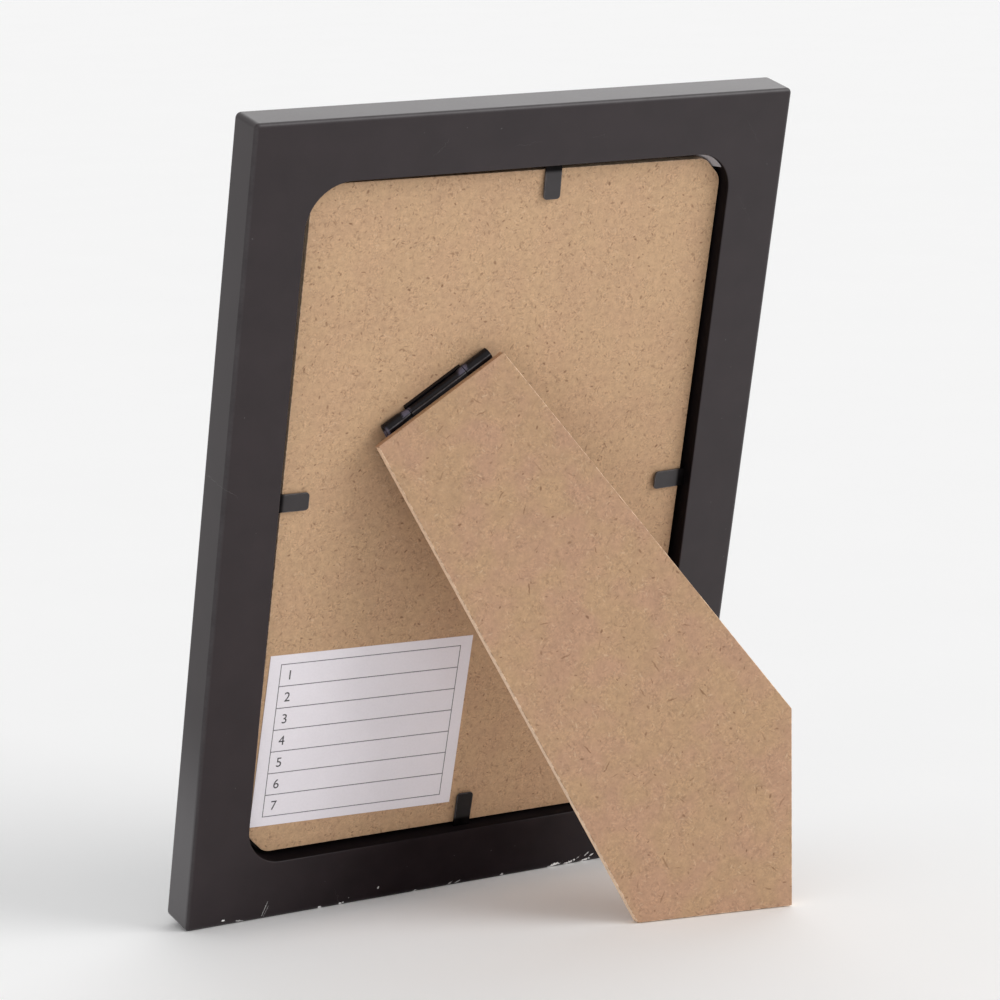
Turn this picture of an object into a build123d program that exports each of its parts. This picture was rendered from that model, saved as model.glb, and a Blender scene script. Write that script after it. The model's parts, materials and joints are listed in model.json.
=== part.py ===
from build123d import *
import os
from math import cos, radians, sin, tan

# Easel-back photo frame for a 10 x 15 cm picture, standing upright on its bottom edge and its strut.
# Each piece is drawn in the frame's own axes: X to the right as seen from behind, Y up the frame from
# its bottom edge, and Z out of the back, with zero on the back face. At the end the whole frame is
# leaned back and stood on the ground, with its front facing -Y. Sizes are in millimetres and degrees.

# Frame ring, cut from one board
frame_width = 130.0
frame_height = 180.0
frame_depth = 12.0
front_bevel = 3.3            # 45 degree bevel round the front outer edges
corner_radius = 1.2          # outer corners, seen from the front
back_arris_radius = 0.8      # outer edges of the back face
rail_width = 13.5            # back face, from the outer edge to the rebate
rebate_radius = 8.5          # corners of the rebate
opening_arris_radius = 0.3   # back edge of the rebate
sight_lip = 3.0              # how far the front lip covers the glass
sight_radius = 1.0
sight_bevel = 1.2

# Glass, picture and backboard in the rebate, from front to back
glass_thickness = 2.0
glass_clearance = 0.7        # from the rebate's wall, all round
insert_thickness = 0.3
insert_clearance = 0.5
board_thickness = 2.5
board_side_play = 2.9        # narrower than the rebate
board_end_play = 2.4         # shorter than the rebate
board_shift = 0.4            # to the right of the rebate's middle
board_drop = 0.3             # below the rebate's middle
board_turn = -0.45           # slightly crooked in the rebate
board_corner_cut = 4.3
board_corner_easing = 3.5    # radius where a cut corner meets the edges
recess_depth = 2.9           # from the frame's back face down to the backboard's

# Paper label on the backboard, stuck on slightly crooked
label_width = 50.0
label_height = 40.0
label_thickness = 0.12
label_side_margin = 0.25     # from the backboard's left edge
label_bottom_margin = 6.0    # from the backboard's bottom edge
label_turn = -2.0

# Strut hinge: two leaves of black sheet rolled round a pin
hinge_x = -15.4              # middle of the barrel
hinge_y = 117.95
hinge_tilt = 32.8            # barrel's slope, up to the right
barrel_length = 27.9
end_knuckle_length = 6.5
end_knuckle_proud = 0.15     # end knuckles are this much larger in radius than the middle one
knuckle_gap = 0.15
pin_diameter = 1.6
pin_clearance = 0.05         # radial, running fit
pin_projection = 0.25        # at each end of the barrel
pin_end_bevel = 0.2
leaf_thickness = 0.5
leaf_length = 12.0           # from the pin's axis to the free edge
leaf_neck = 1.8              # from the pin's axis to the leaf's full width
leaf_corner_radius = 2.0
heel_width = 5.0             # stop: a heel on the strut's leaf meets a lip on the other leaf
heel_thickness = 0.4
heel_drop = 0.55             # heel's middle below the pin's axis
lip_margin = 0.05            # lip above the heel
stop_gap = 0.03

# Tacks through the leaves
tack_shank_diameter = 1.2
tack_head_diameter = 2.6
tack_head_height = 0.4
tack_cover = 0.8             # board left beyond the tack's point
tack_clearance = 0.05
tack_spacing = 18.0
tack_drop = 7.5              # below the pin's axis

# Strut
strut_thickness = 2.5
strut_top_width = 33.6
strut_flare = 5.5            # each side, from square
strut_side_shift = -1.0      # top edge's middle from the barrel's middle
strut_top_drop = 0.8         # top edge below the pin's axis
opening_angle = 22.0         # strut to backboard, on the stop
lean_angle = 12.65           # frame from upright, standing on its bottom edge
sideways_lean_angle = 11.25  # the same, standing on its side

# Flex tabs that hold the backboard in
tab_width = 4.0
tab_length = 8.0             # from the rebate's wall to the tip
tab_thickness = 0.5
tab_tip_radius = 0.8
tab_rise = 3.0               # tongue's slope away from the backboard
tab_root_depth = 7.0         # root pressed into the frame
tab_bend_offset = 0.45       # bend line from the rebate's wall
tab_bend_gap = 0.05
tab_board_clearance = 0.1
tab_slot_clearance = 0.05
top_tab_x = 8.1
bottom_tab_x = 3.4
left_tab_y = 96.3
right_tab_y = 91.2

# Levels and sizes that follow from these
rebate_width = frame_width - 2 * rail_width
rebate_height = frame_height - 2 * rail_width
board_level = -recess_depth
insert_level = board_level - board_thickness
glass_level = insert_level - insert_thickness
rebate_floor = glass_level - glass_thickness
middle = Pos(0, frame_height / 2, 0)
board_width = rebate_width - board_side_play
board_height = rebate_height - board_end_play
board_middle = middle * Pos(board_shift, -board_drop)

bore_radius = pin_diameter / 2 + pin_clearance
middle_knuckle_radius = bore_radius + leaf_thickness
end_knuckle_radius = middle_knuckle_radius + end_knuckle_proud
middle_knuckle_length = barrel_length - 2 * (end_knuckle_length + knuckle_gap)
hinge_axes = Plane(
    origin=(hinge_x, hinge_y, board_level + end_knuckle_radius),
    x_dir=(cos(radians(hinge_tilt)), sin(radians(hinge_tilt)), 0),
    z_dir=(0, 0, 1),
)
# The strut is drawn folded flat and swung out about the pin, the hinge's X axis.
swing_out = Rot(X=-opening_angle)

tab_level = board_level + tab_board_clearance + tab_thickness / 2
tab_axes = {
    "top": Plane((top_tab_x, frame_height - rail_width, tab_level), x_dir=(0, -1, 0), z_dir=(0, 0, 1)),
    "bottom": Plane((bottom_tab_x, rail_width, tab_level), x_dir=(0, 1, 0), z_dir=(0, 0, 1)),
    "left": Plane((-rebate_width / 2, left_tab_y, tab_level), x_dir=(1, 0, 0), z_dir=(0, 0, 1)),
    "right": Plane((rebate_width / 2, right_tab_y, tab_level), x_dir=(-1, 0, 0), z_dir=(0, 0, 1)),
}


def rebate_plate(clearance, back_level, thickness):
    """Flat sheet that follows the rebate's outline at a clearance, with its back face at a level."""
    outline = RectangleRounded(
        rebate_width - 2 * clearance, rebate_height - 2 * clearance, rebate_radius - clearance
    )
    return middle * Pos(Z=back_level - thickness) * extrude(outline, thickness)


def make_frame():
    """Ring with a bevelled front, a rebate from behind, a sight opening and four tab slots."""
    side_depth = frame_depth - front_bevel
    outline = RectangleRounded(frame_width, frame_height, corner_radius)
    face_outline = RectangleRounded(
        frame_width - 2 * front_bevel, frame_height - 2 * front_bevel, corner_radius
    )
    ring = Pos(Z=-side_depth) * extrude(outline, side_depth)
    ring += loft([Pos(Z=-side_depth) * outline, Pos(Z=-frame_depth) * face_outline], ruled=True)
    back_face = ring.faces().sort_by(Axis.Z)[-1]
    ring = middle * fillet(back_face.edges(), back_arris_radius)

    ring -= rebate_plate(0, 0, -rebate_floor)
    back_face = ring.faces().sort_by(Axis.Z)[-1]
    ring = fillet(back_face.inner_wires()[0].edges(), opening_arris_radius)

    sight = RectangleRounded(
        rebate_width - 2 * sight_lip, rebate_height - 2 * sight_lip, sight_radius
    )
    ring -= middle * Pos(Z=-frame_depth) * extrude(sight, frame_depth)
    front_face = ring.faces().sort_by(Axis.Z)[0]
    ring = chamfer(front_face.inner_wires()[0].edges(), sight_bevel)

    slot = Box(
        tab_root_depth + tab_slot_clearance,
        tab_width + 2 * tab_slot_clearance,
        tab_thickness + 2 * tab_slot_clearance,
        align=(Align.MAX, Align.CENTER, Align.CENTER),
    )
    for axes in tab_axes.values():
        ring -= axes.location * slot
    return ring


def make_glass():
    """Clear pane on the front lip."""
    return rebate_plate(glass_clearance, glass_level, glass_thickness)


def make_insert():
    """Paper picture between the glass and the backboard."""
    return rebate_plate(insert_clearance, insert_level, insert_thickness)


def tack_positions():
    """Places of a leaf's tacks, in the hinge's axes."""
    return [Pos(X=side * tack_spacing / 2, Y=-tack_drop) for side in (-1, 1)]


def tack_holes(radius, start_level, depth):
    """Round holes for a leaf's tacks, upwards from a level."""
    hole = Pos(Z=start_level) * Cylinder(radius, depth, align=(Align.CENTER, Align.CENTER, Align.MIN))
    return [place * hole for place in tack_positions()]


def make_backboard():
    """Fibreboard panel with cut corners and two blind holes for the hinge's tacks."""
    outline = Rectangle(board_width, board_height)
    outline = chamfer(outline.vertices(), board_corner_cut)
    outline = fillet(outline.vertices(), board_corner_easing)
    board = board_middle * Pos(Z=insert_level) * Rot(Z=board_turn) * extrude(outline, board_thickness)
    grip = board_thickness - tack_cover
    radius = tack_shank_diameter / 2 + tack_clearance
    for hole in tack_holes(radius, -end_knuckle_radius - grip, grip):
        board -= hinge_axes.location * hole
    return board


def make_label():
    """Paper label near the backboard's lower left corner, as seen from behind."""
    left = label_side_margin - board_width / 2
    bottom = label_bottom_margin - board_height / 2
    centre = board_middle * Pos(left + label_width / 2, bottom + label_height / 2, board_level)
    sheet = Box(label_width, label_height, label_thickness, align=(Align.CENTER, Align.CENTER, Align.MIN))
    return centre * Rot(Z=label_turn) * sheet


def barrel_piece(centre_x, length, radius):
    """Solid round length of the hinge's barrel."""
    return Pos(X=centre_x) * Rot(Y=90) * Cylinder(radius, length)


def make_leaf(knuckle_centres, knuckle_length, knuckle_radius, low_level):
    """Flat leaf below the pin's axis, with necks up to its rolled knuckles and holes for tacks."""
    hanging = (Align.CENTER, Align.MAX, Align.MIN)
    plate = Box(barrel_length, leaf_length - leaf_neck, leaf_thickness, align=hanging)
    free_corners = plate.edges().filter_by(Axis.Z).group_by(Axis.Y)[0]
    leaf = Pos(Y=-leaf_neck, Z=low_level) * fillet(free_corners, leaf_corner_radius)
    for centre_x in knuckle_centres:
        neck = Box(knuckle_length, leaf_neck, leaf_thickness, align=hanging)
        leaf += Pos(X=centre_x, Z=low_level) * neck
        leaf += barrel_piece(centre_x, knuckle_length, knuckle_radius)
    leaf -= barrel_piece(0, barrel_length, bore_radius)
    for hole in tack_holes(tack_shank_diameter / 2 + tack_clearance, low_level, leaf_thickness):
        leaf -= hole
    return leaf


def make_back_leaf():
    """Leaf on the backboard, with the end knuckles and the lip that stops the strut."""
    end_centre = (barrel_length - end_knuckle_length) / 2
    low_level = -end_knuckle_radius
    leaf = make_leaf((-end_centre, end_centre), end_knuckle_length, end_knuckle_radius, low_level)
    lip_height = end_knuckle_radius - heel_drop + heel_thickness / 2 + lip_margin
    lip = Box(heel_width, leaf_thickness, lip_height, align=(Align.CENTER, Align.MAX, Align.MIN))
    return leaf + Pos(Y=-leaf_neck, Z=low_level) * lip


def make_strut_leaf():
    """Leaf on the strut, with the middle knuckle and the heel that meets the stop."""
    low_level = end_knuckle_radius - leaf_thickness
    leaf = make_leaf((0,), middle_knuckle_length, middle_knuckle_radius, low_level)
    heel_start = middle_knuckle_radius - leaf_thickness / 2
    heel = Box(
        heel_width,
        leaf_neck - stop_gap - heel_start,
        heel_thickness,
        align=(Align.CENTER, Align.MAX, Align.CENTER),
    )
    return swing_out * leaf + Pos(Y=-heel_start, Z=-heel_drop) * heel


def make_pin():
    """Hinge pin with bevelled ends that stand out of the barrel."""
    pin = barrel_piece(0, barrel_length + 2 * pin_projection, pin_diameter / 2)
    return chamfer(pin.edges().filter_by(GeomType.CIRCLE), pin_end_bevel)


def make_tacks(seat_level, grip):
    """Tacks that point down into a board below a level, with their heads above it."""
    upright = (Align.CENTER, Align.CENTER, Align.MIN)
    shank_length = grip + leaf_thickness
    shank = Cylinder(tack_shank_diameter / 2, shank_length, align=upright)
    head = Cylinder(tack_head_diameter / 2, tack_head_height, align=upright)
    tack = Pos(Z=-shank_length) * shank + head
    return [place * Pos(Z=seat_level) * tack for place in tack_positions()]


def make_back_tacks():
    """Tacks from behind, through the back leaf into the backboard."""
    tacks = make_tacks(leaf_thickness - end_knuckle_radius, board_thickness - tack_cover)
    return Compound(children=tacks)


def make_strut_tacks():
    """Tacks from inside, through the other leaf into the strut."""
    turn_over = Rot(Y=180)
    tacks = make_tacks(leaf_thickness - end_knuckle_radius, strut_thickness - tack_cover)
    return Compound(children=[swing_out * turn_over * tack for tack in tacks])


def settle(lean):
    """How far the rounded back edge lets the frame down when it leans."""
    return back_arris_radius * (1 - cos(radians(lean)) - sin(radians(lean)))


def foot_line(resting_point, up, lean):
    """Line on the open strut's inner face that meets the ground: a point and a direction.

    The line is given across and down from the middle of the barrel, with the strut folded flat.
    """
    pivot_height = (hinge_axes.origin - resting_point).dot(up) + settle(lean)
    across = up.dot(hinge_axes.x_dir)
    above = up.dot(hinge_axes.y_dir)
    outward = up.dot(hinge_axes.z_dir)
    swing = radians(opening_angle)
    fall = above * cos(swing) - outward * sin(swing)
    seat_rise = end_knuckle_radius * (above * sin(swing) + outward * cos(swing))
    return Vector(0, (pivot_height + seat_rise) / fall), Vector(1, across / fall)


def crossing(line, other):
    """Point where two lines in a plane cross, each given as a point and a direction."""
    (start, along), (other_start, other_along) = line, other
    offset = other_start - start
    turn = along.X * other_along.Y - along.Y * other_along.X
    return start + along * ((offset.X * other_along.Y - offset.Y * other_along.X) / turn)


def make_strut():
    """Flared fibreboard leg whose two foot cuts meet the ground upright and sideways."""
    lean = radians(lean_angle)
    upright = Vector(0, cos(lean), -sin(lean))
    upright_foot = foot_line(Vector(0, 0, 0), upright, lean_angle)
    lean = radians(sideways_lean_angle)
    sideways = Vector(-cos(lean), 0, -sin(lean))
    sideways_foot = foot_line(Vector(frame_width / 2, 0, 0), sideways, sideways_lean_angle)
    flare = tan(radians(strut_flare))
    top_left = Vector(strut_side_shift - strut_top_width / 2, strut_top_drop)
    top_right = Vector(strut_side_shift + strut_top_width / 2, strut_top_drop)
    corners = [
        top_left,
        crossing((top_left, Vector(-flare, 1)), upright_foot),
        crossing(upright_foot, sideways_foot),
        crossing((top_right, Vector(flare, 1)), sideways_foot),
        top_right,
    ]
    outline = Polygon([(corner.X, -corner.Y) for corner in corners], align=None)
    strut = Pos(Z=end_knuckle_radius) * extrude(outline, strut_thickness)
    grip = strut_thickness - tack_cover
    for hole in tack_holes(tack_shank_diameter / 2 + tack_clearance, end_knuckle_radius, grip):
        strut -= hole
    return swing_out * strut


def make_tab():
    """Free tongue of a flex tab, with a round root on the bend line."""
    reach = tab_length - tab_bend_offset
    tongue = Box(reach, tab_width, tab_thickness, align=(Align.MIN, Align.CENTER, Align.CENTER))
    tip_corners = tongue.edges().filter_by(Axis.Z).group_by(Axis.X)[-1]
    tongue = fillet(tip_corners, tab_tip_radius)
    root = Rot(X=90) * Cylinder(tab_thickness / 2, tab_width)
    return Pos(X=tab_bend_offset) * Rot(Y=-tab_rise) * (tongue + root)


def make_tab_root():
    """Fixed end of a flex tab, pressed into its slot up to the bend."""
    end = tab_bend_offset - tab_thickness / 2 - tab_bend_gap
    root = Box(
        tab_root_depth + end,
        tab_width,
        tab_thickness,
        align=(Align.MAX, Align.CENTER, Align.CENTER),
    )
    return Pos(X=end) * root


hinge_place = hinge_axes.location
nodes = {
    "frame": make_frame(),
    "glass": make_glass(),
    "picture_insert": make_insert(),
    "backboard": make_backboard(),
    "label": make_label(),
    "hinge_back_leaf": hinge_place * make_back_leaf(),
    "hinge_strut_leaf": hinge_place * make_strut_leaf(),
    "hinge_pin": hinge_place * make_pin(),
    "back_leaf_tacks": hinge_place * make_back_tacks(),
    "strut_leaf_tacks": hinge_place * make_strut_tacks(),
    "strut": hinge_place * make_strut(),
}
for side, axes in tab_axes.items():
    nodes[side + "_tab"] = axes.location * make_tab()
    nodes[side + "_tab_root"] = axes.location * make_tab_root()

# Lean the frame back on its rounded bottom edge, then centre what the frame and strut cover.
lean_back = Plane(
    origin=(0, 0, settle(lean_angle)),
    x_dir=(-1, 0, 0),
    z_dir=(0, cos(radians(lean_angle)), -sin(radians(lean_angle))),
).location
front = (lean_back * nodes["frame"]).bounding_box().min.Y
back = (lean_back * nodes["strut"]).bounding_box().max.Y
standing = Pos(Y=-(front + back) / 2) * lean_back

os.makedirs("parts", exist_ok=True)
for name, shape in nodes.items():
    export_step(standing * shape, f"parts/{name}.step")
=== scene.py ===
import json
from math import atan2, pi, radians

import bmesh
import bpy
from bpy.props import FloatProperty, FloatVectorProperty, IntProperty, PointerProperty
from mathutils import Matrix, Vector


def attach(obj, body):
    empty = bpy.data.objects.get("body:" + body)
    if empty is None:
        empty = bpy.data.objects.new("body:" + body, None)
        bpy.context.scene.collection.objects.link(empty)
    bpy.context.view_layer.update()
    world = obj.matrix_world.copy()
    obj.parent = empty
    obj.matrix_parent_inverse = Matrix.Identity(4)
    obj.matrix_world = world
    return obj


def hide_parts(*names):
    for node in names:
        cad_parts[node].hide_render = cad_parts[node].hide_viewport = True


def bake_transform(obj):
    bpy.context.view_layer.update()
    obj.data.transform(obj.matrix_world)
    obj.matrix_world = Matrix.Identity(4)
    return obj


bl_info = {
    "name": "Easel Back Photo Frame",
    "version": (1, 0, 0),
    "blender": (4, 5, 0),
    "location": "3D View > Sidebar > Easel Frame",
    "description": "Dresses a small easel back photo frame and sets it on a pale studio floor",
    "category": "Object",
}

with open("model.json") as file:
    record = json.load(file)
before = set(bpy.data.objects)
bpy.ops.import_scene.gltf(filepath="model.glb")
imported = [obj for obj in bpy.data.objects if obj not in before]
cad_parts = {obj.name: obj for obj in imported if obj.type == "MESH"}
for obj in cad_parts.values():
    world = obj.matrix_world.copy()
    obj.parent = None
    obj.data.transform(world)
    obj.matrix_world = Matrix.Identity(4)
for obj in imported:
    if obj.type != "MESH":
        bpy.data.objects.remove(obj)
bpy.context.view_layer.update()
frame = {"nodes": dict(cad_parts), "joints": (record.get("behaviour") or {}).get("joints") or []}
JOINTS = {joint["name"]: joint for joint in frame["joints"]}
TAB_SIDES = ("top", "bottom", "left", "right")
MILLIMETRE = 0.001
# Points that lie closer than this count as one
NEAR = 0.01 * MILLIMETRE
# Chips in the paint, low on the back: middle across and up, half length and half width in millimetres,
# turn in degrees, and strength
EDGE_CHIPS = (
    (-56.0, 1.4, 0.38, 0.3, 0, 1.0),
    (-52.0, 0.6, 1.0, 0.22, -10, 0.45),
    (-46.1, 2.4, 2.1, 0.10, 70, 0.5),
    (-45.6, 2.1, 1.5, 0.07, 66, 0.3),
    (-32.2, 0.4, 0.55, 0.35, 0, 1.0),
    (-27.1, 0.5, 0.6, 0.35, 10, 1.0),
    (-25.2, 1.6, 0.22, 0.2, 0, 0.35),
    (-17.9, 2.8, 0.4, 0.16, 76, 0.6),
    (-8.3, 0.3, 0.6, 0.3, 0, 0.8),
    (0.6, 0.7, 0.7, 0.2, 30, 0.4),
    (2.6, 0.8, 0.9, 0.16, 24, 0.4),
    (14.2, 0.6, 0.35, 0.3, 0, 0.8),
    (27.9, 0.7, 1.7, 0.38, 12, 1.0),
    (31.9, 0.65, 1.5, 0.32, 12, 1.0),
    (36.0, 0.5, 1.3, 0.32, 16, 1.0),
    (34.2, 1.5, 0.7, 0.14, 34, 0.45),
    (36.4, 2.0, 0.8, 0.16, 40, 0.6),
    (37.6, 1.5, 0.6, 0.2, 22, 0.8),
)


# Axes of the pieces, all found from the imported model

def node_points(node, axes):
    """Corners of a CAD node's mesh, measured in the given axes."""
    to_axes = axes.inverted()
    return [to_axes @ vertex.co for vertex in frame["nodes"][node].data.vertices]


def node_box(node, axes):
    """Lowest and highest corner of a CAD node, measured in the given axes."""
    points = node_points(node, axes)
    return Vector(map(min, zip(*points))), Vector(map(max, zip(*points)))


def make_axes(across, up, origin):
    """Matrix of axes with X across, Y up and Z out, at an origin."""
    turn = Matrix((across, up, across.cross(up))).transposed()
    return Matrix.Translation(origin) @ turn.to_4x4()


def find_frame_axes():
    """X to the right as seen from behind, Y up the frame from its bottom edge, Z out of its back."""
    across = Vector(JOINTS["bottom_tab_bend"]["axis"])
    up = Vector(JOINTS["right_tab_bend"]["axis"])
    turn = make_axes(across, up, Vector())
    low, high = node_box("frame", turn)
    return make_axes(across, up, turn @ Vector((0, low.y, high.z)))


def find_hinge_axes():
    """X along the pin, Y up the backboard, Z out of the back."""
    across = Vector(JOINTS["strut_hinge"]["axis"])
    up = FRAME_AXES.col[2].to_3d().cross(across)
    return make_axes(across, up, Vector(JOINTS["strut_hinge"]["pos_m"]))


def closed_angle():
    """How far the strut turns about the pin until it is folded flat."""
    return radians(max(JOINTS["strut_hinge"]["range_deg"]))


def find_strut_axes():
    """Hinge axes swung out with the open strut."""
    return HINGE_AXES @ Matrix.Rotation(-closed_angle(), 4, "X")


def find_label_axes():
    """Middle of the crooked label, with X along its rows."""
    points = node_points("label", FRAME_AXES)
    top_left = max(points, key=lambda point: point.y)
    top_right = max(points, key=lambda point: point.x)
    low, high = node_box("label", FRAME_AXES)
    slope = atan2(top_right.y - top_left.y, top_right.x - top_left.x)
    middle = Vector(((low.x + high.x) / 2, (low.y + high.y) / 2, low.z))
    return FRAME_AXES @ Matrix.Translation(middle) @ Matrix.Rotation(slope, 4, "Z")


def find_tab_axes(side):
    """Middle of a flex tab's bend, with X along the tongue and Z out of the back."""
    across = -Vector(JOINTS[side + "_tab_bend"]["axis"])
    along = across.cross(FRAME_AXES.col[2].to_3d())
    return make_axes(along, across, Vector(JOINTS[side + "_tab_bend"]["pos_m"]))


def rebate_box():
    """Lowest and highest corner of the ring's rebate, where the glass rests, in the frame's axes."""
    level = node_box("glass", FRAME_AXES)[0].z
    floor = [point for point in node_points("frame", FRAME_AXES) if abs(point.z - level) < NEAR]
    return Vector(map(min, zip(*floor))), Vector(map(max, zip(*floor)))


FRAME_AXES = find_frame_axes()
HINGE_AXES = find_hinge_axes()
STRUT_AXES = find_strut_axes()
LABEL_AXES = find_label_axes()


# Settings that a user can change

def length(name, description, default):
    """Size in metres."""
    return FloatProperty(name=name, description=description, default=default, unit="LENGTH", precision=5)


def angle(name, description, default):
    """Angle, given in degrees."""
    return FloatProperty(name=name, description=description, default=radians(default), subtype="ANGLE")


def direction(name, description, default):
    """Way that a light shines."""
    return FloatVectorProperty(name=name, description=description, default=default, subtype="DIRECTION")


def colour(name, description, default):
    """Colour in linear red, green and blue."""
    return FloatVectorProperty(
        name=name, description=description, default=default, size=3, min=0.0, max=1.0, subtype="COLOR"
    )


class EaselSizes(bpy.types.PropertyGroup):
    """Small sizes of the pieces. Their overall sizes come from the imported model."""

    corner_radius: length("Corner radius", "Outer corners of the frame ring", 0.0012)
    back_arris: length("Back arris", "Rounding of the ring's outer edge at the back", 0.0008)
    opening_arris: length("Opening arris", "Rounding of the back opening's edge", 0.0003)
    front_bevel: length("Front bevel", "Bevel round the ring's front", 0.0033)
    bevel_arris: length("Bevel arris", "Rounding of the front bevel's edges", 0.0004)
    rebate_radius: length("Rebate radius", "Corners of the back opening", 0.0085)
    odd_radius: length("Odd radius", "Top left corner of the back opening, seen from behind", 0.0101)
    sight_lip: length("Sight lip", "How far the front lip covers the glass", 0.003)
    sight_radius: length("Sight radius", "Corners of the front opening", 0.001)
    sight_bevel: length("Sight bevel", "Bevel round the front opening", 0.0012)
    pane_arris: length("Pane arris", "Ground edges of the glass", 0.0003)
    # Width of the painted shade laid on the insert's back.
    insert_margin: length("Insert margin", "Black margin on the insert's back", 0.0019)
    ear_gap: length("Ear gap", "From the rebate's wall to the insert's turned up corner", 0.0001)
    ear_lean: length("Ear lean", "How far the turned up corner leans out", 0.0014)
    ear_height: length("Ear height", "Height of the turned up corner", 0.0043)
    ear_thickness: length("Ear thickness", "Paper of the turned up corner", 0.0001)
    ear_start: angle("Ear start", "Where the turned up corner starts round the rebate's corner", 37)
    ear_end: angle("Ear end", "Where the turned up corner ends round the rebate's corner", 73)
    board_arris: length("Board arris", "Worn edges of the fibreboard pieces", 0.0002)
    end_knuckle: length("End knuckle", "Length of the back leaf's knuckles", 0.0065)
    knuckle_gap: length("Knuckle gap", "Gap between two knuckles", 0.00015)
    shoulder: length("Knuckle shoulder", "Sloping stretch of the left end knuckle", 0.0025)
    recess_end: length("Recess end", "From the barrel's middle to the recess's right end", 0.00545)
    recess_depth: length("Recess depth", "How far the middle knuckle is drawn in", 0.00036)
    slot_rim: length("Slot rim", "Rim of the back leaf beside the recess", 0.00022)
    tack_head: length("Tack head", "Radius of a tack's head", 0.0013)
    tack_rise: length("Tack rise", "Height of a tack's head", 0.0004)
    tack_shank: length("Tack shank", "Radius of a tack's shank", 0.0006)
    leaf_neck: length("Leaf neck", "From the pin to a leaf's full width", 0.0018)
    leaf_corner: length("Leaf corner", "Corners of a leaf's free edge", 0.002)
    sheet_thickness: length("Sheet thickness", "Black sheet of the leaves", 0.0005)
    sheet_arris: length("Sheet arris", "Rounding of the black sheet's edges", 0.00012)
    tab_tip: length("Tab tip", "Corners of a tab's tip", 0.0008)
    tab_arris: length("Tab arris", "Rounding of a tab's edges", 0.00008)
    tab_bend: length("Tab bend", "Length of a tab's flexing stretch", 0.0006)
    row_height: length("Row height", "Rows of the label's ruled form", 0.00509)
    form_width: length("Form width", "Ruled form on the label", 0.0443)
    line_width: length("Line width", "Ruled lines on the label", 0.0002)
    number_height: length("Number height", "Row numbers on the label", 0.0031)
    number_margin: length("Number margin", "From the form's left side to its row numbers", 0.0016)
    row_count: IntProperty(name="Rows", description="Rows of the label's ruled form", default=7, min=1)


class EaselColours(bpy.types.PropertyGroup):
    """Base colours of the finishes."""

    paint: colour("Paint", "Black paint of the frame ring", (0.0160, 0.0085, 0.0105))
    # Also the colour of a painted floor reflection low on the ring's outer sides.
    paint_worn_and_reflection: colour("Worn paint", "Paint where the edges are rubbed", (0.105, 0.098, 0.102))
    # Painted shade: near-black laid inside the back opening, and as a margin on the insert's back.
    rebate: colour("Rebate", "Matt black inside the back opening", (0.004, 0.003, 0.0035))
    chip: colour("Chips", "Chipped spots on the bottom edge", (0.90, 0.89, 0.88))
    board: colour("Backboard", "Face of the backboard", (0.550, 0.353, 0.205))
    strut: colour("Strut", "Face of the strut", (0.486, 0.303, 0.171))
    blush: colour("Blush", "Pinkish patches in the fibreboard", (0.486, 0.280, 0.182))
    fibre_dark: colour("Dark fibres", "Dark fibres in the fibreboard", (0.165, 0.068, 0.024))
    fibre_pale: colour("Pale fibres", "Pale fibres in the fibreboard", (0.70, 0.50, 0.33))
    # Partly the cut edges' own paler tone, partly a painted highlight.
    cut_edge_and_highlight: colour("Cut edge", "Sawn edges of the fibreboard", (0.97, 0.72, 0.51))
    label: colour("Label", "Paper of the label", (0.89, 0.85, 0.90))
    ink: colour("Ink", "Ruled lines and numbers on the label", (0.055, 0.053, 0.058))
    insert: colour("Insert", "Paper behind the glass", (0.52, 0.51, 0.55))
    hinge: colour("Hinge black", "Black sheet of the hinge", (0.0065, 0.0050, 0.0065))
    # Lighter grey on the knuckles' shoulders, and the painted highlight at the barrel's left end.
    shoulder: colour("Shoulder", "Rubbed shoulders of the hinge's knuckles", (0.125, 0.112, 0.155))
    metal: colour("Black metal", "Black sheet of the tabs", (0.021, 0.0165, 0.0180))
    # Also the colour of the hinge's painted ridge highlight.
    worn_metal_and_highlight: colour("Worn metal", "Black sheet where it is rubbed", (0.16, 0.155, 0.165))
    steel: colour("Steel", "Heads of the tacks", (0.42, 0.41, 0.40))
    glass: colour("Glass", "Glass pane", (0.955, 0.985, 0.975))
    floor: colour("Floor", "Studio floor", (0.985, 0.985, 0.985))


class EaselStage(bpy.types.PropertyGroup):
    """Camera and light."""

    azimuth: angle("Azimuth", "Camera's turn round the frame", 148.537)
    elevation: angle("Elevation", "Camera's height over the horizon", 10.704)
    roll: angle("Roll", "Camera's turn about its view", -0.588)
    distance: length("Distance", "From the camera to its aim", 0.88752)
    aim: FloatVectorProperty(
        name="Aim", description="Middle of the view", default=(-0.00101, 0.00028, 0.09024),
        subtype="XYZ", unit="LENGTH",
    )
    lens: FloatProperty(name="Lens", description="Focal length in millimetres", default=150.13)
    ambient: FloatProperty(name="Ambient", description="Strength of the room's light", default=0.58)
    key: FloatProperty(name="Key", description="Strength of the light in front", default=0.66)
    key_angle: angle("Key angle", "Apparent size of the light in front", 52)
    key_heading: direction("Key heading", "Way that the light in front shines", (0.50, 0.60, -0.66))
    fill: FloatProperty(name="Fill", description="Strength of the light behind", default=1.34)
    fill_angle: angle("Fill angle", "Apparent size of the light behind", 40)
    fill_heading: direction("Fill heading", "Way that the light behind shines", (0.62, -0.62, -0.45))
    floor_radius: length("Floor radius", "Round studio floor", 12.0)


# Mesh steps that several pieces share

def flat_face(bm, corners, level=0.0):
    """Flat face with these corners, in order, at a level."""
    return bm.faces.new([bm.verts.new((x, y, level)) for x, y in corners])


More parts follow.
